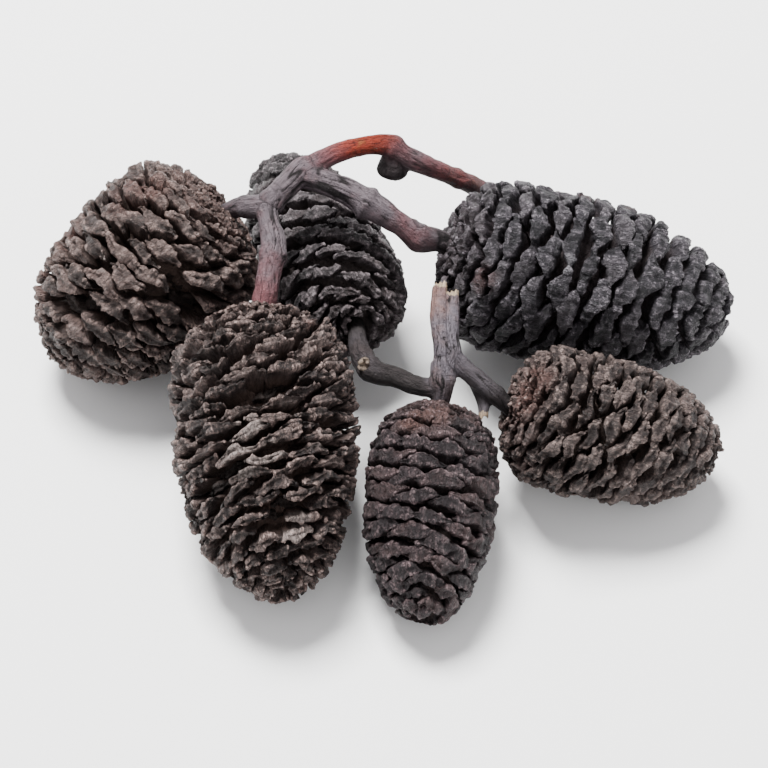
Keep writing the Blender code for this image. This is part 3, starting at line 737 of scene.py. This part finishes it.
# The front middle cone is small and neat, purplish brown, and redder round its stalk. It sits on the end of
# the lower twig's middle stalk.
lay_cone(
    grow_cone("scales_of_front_middle_cone", base=(4.5, -3.6, 8.4), tip=(3.2, -22.4, 3.0), radius=5.75,
              blunt=4.0, count=164, way=1, seed=27, width=5.0, thick=1.50, slope=-3, ragged=0.75, split=0.65,
              red=((2.3, -7.7, 12.3, 1.6), (4.4, -7.4, 12.5, 1.6))),
    "cone_front_middle",
    scale_material("front_middle_cone_scales", deep=(0.010, 0.006, 0.007), face=(0.022, 0.014, 0.016),
                   edge=(0.110, 0.076, 0.078), dust=(0.080, 0.060, 0.064), hollow=(0.055, 0.038, 0.035),
                   dusty=0.15, base_warmth=0.35))


# The lower right cone is small, brown and chunky, and deeply wrinkled. It sits on the end of the lower twig's
# right stalk.
lay_cone(
    grow_cone("scales_of_lower_right_cone", base=(10.3, -3.9, 8.6), tip=(29.0, -5.5, 3.6), radius=6.4,
              blunt=5.0, count=200, way=1, seed=34, width=3.9, thick=1.42, slope=-14, ragged=1.0, split=0.9,
              red=((12.5, -4.3, 12.7, 2.2), (11.7, -5.7, 11.7, 2.0))),
    "cone_lower_right",
    scale_material("lower_right_cone_scales", deep=(0.021, 0.014, 0.013), face=(0.086, 0.063, 0.058),
                   edge=(0.170, 0.125, 0.110), dust=(0.150, 0.125, 0.115), hollow=(0.080, 0.055, 0.046),
                   dusty=0.40, base_warmth=0.35))


# The table that the bunch lies on is plain and pale, 6 m each way, so that its edges are out of sight.
# It stands for no part of the bunch.
FLOOR_REACH = 3
floor_mesh = bpy.data.meshes.new("pale_floor")
floor_mesh.from_pydata([(-FLOOR_REACH, -FLOOR_REACH, 0), (FLOOR_REACH, -FLOOR_REACH, 0),
                        (FLOOR_REACH, FLOOR_REACH, 0), (-FLOOR_REACH, FLOOR_REACH, 0)], [], [(0, 1, 2, 3)])
floor = bpy.data.objects.new("pale_floor", floor_mesh)
bpy.context.scene.collection.objects.link(floor)
floor_material, floor_shader, _ = new_material("pale_table")
floor_shader.inputs["Base Color"].default_value = (0.91, 0.91, 0.90, 1.0)
floor_shader.inputs["Roughness"].default_value = 0.8
floor_mesh.materials.append(floor_material)

# The light is that of a plain studio, in metres and watts: a soft lamp high behind and to the left, a weak
# wide one in front, and an even pale surrounding. Each lamp has a place, a width and a power.
LAMP_AIM = Vector((0.0, 0.0, 0.005))
LAMPS = (("high_lamp", (-0.10, 0.20, 0.46), 0.20, 10.2), ("front_lamp", (0.25, -0.45, 0.35), 0.40, 1.0))

world = bpy.data.worlds.new("studio")
world.use_nodes = True
world.node_tree.nodes["Background"].inputs["Color"].default_value = (0.96, 0.95, 0.98, 1.0)
world.node_tree.nodes["Background"].inputs["Strength"].default_value = 0.90
bpy.context.scene.world = world
for label, place, size, power in LAMPS:
    lamp_data = bpy.data.lights.new(label, "AREA")
    lamp_data.energy, lamp_data.size = power, size
    lamp = bpy.data.objects.new(label, lamp_data)
    lamp.location = place
    lamp.rotation_euler = (LAMP_AIM - Vector(place)).to_track_quat("-Z", "Y").to_euler()
    bpy.context.scene.collection.objects.link(lamp)

# The camera looks down at the bunch from the front, at the photograph's angle, with a long lens and no blur.
# Its target is the middle of the bunch, 7 mm above the table.
CAMERA_REACH, CAMERA_HEIGHT_ANGLE = 0.25, math.radians(52)
target = Vector((0.0, 0.0, 0.007)) - Vector(MIDDLE * MM)
camera_data = bpy.data.cameras.new("camera")
camera_data.lens, camera_data.sensor_width, camera_data.clip_start = 135.0, 36.0, 0.01
camera = bpy.data.objects.new("camera", camera_data)
camera.location = target + CAMERA_REACH * Vector((0, -math.cos(CAMERA_HEIGHT_ANGLE),
                                                  math.sin(CAMERA_HEIGHT_ANGLE)))
camera.rotation_euler = (target - camera.location).to_track_quat("-Z", "Y").to_euler()
bpy.context.scene.collection.objects.link(camera)
bpy.context.scene.camera = camera
